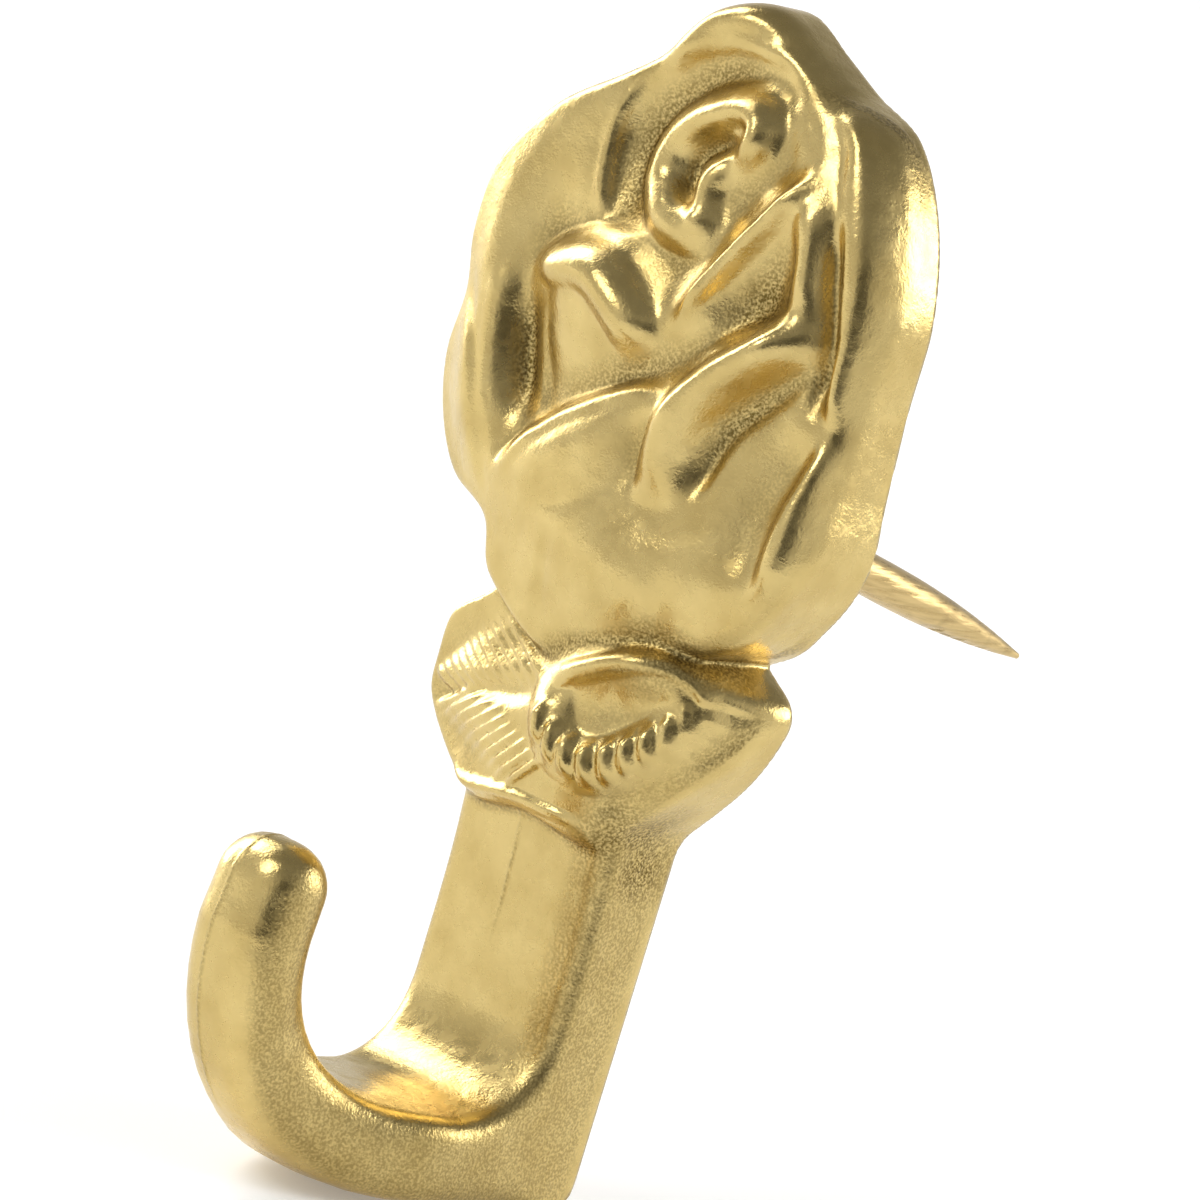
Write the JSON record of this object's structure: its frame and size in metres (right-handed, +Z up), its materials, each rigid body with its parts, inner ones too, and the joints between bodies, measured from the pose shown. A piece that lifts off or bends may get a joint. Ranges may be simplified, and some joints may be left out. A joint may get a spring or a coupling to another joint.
{
  "type": "picture hook",
  "caption": "Cast rose picture hook with a leaf collar, a J hook below that carries the frame and a sloping wall pin behind.",
  "frame": {"origin": "where the pin's axis leaves the flat back of the rose", "axes": "+Z up the wall, -Y out of the wall towards the viewer, +X to the right for a viewer in front"},
  "size_m": [0.0168, 0.034, 0.0383],
  "materials": {
    "plated_casting": "bright brass plating over a die casting, with fine casting grain",
    "pin_metal": "brass plated steel, drawn smooth and a little duller than the casting"
  },
  "bodies": {
    "root": {"hook_casting": "plated_casting", "wall_pin": "pin_metal"}
  },
  "joints": []
}
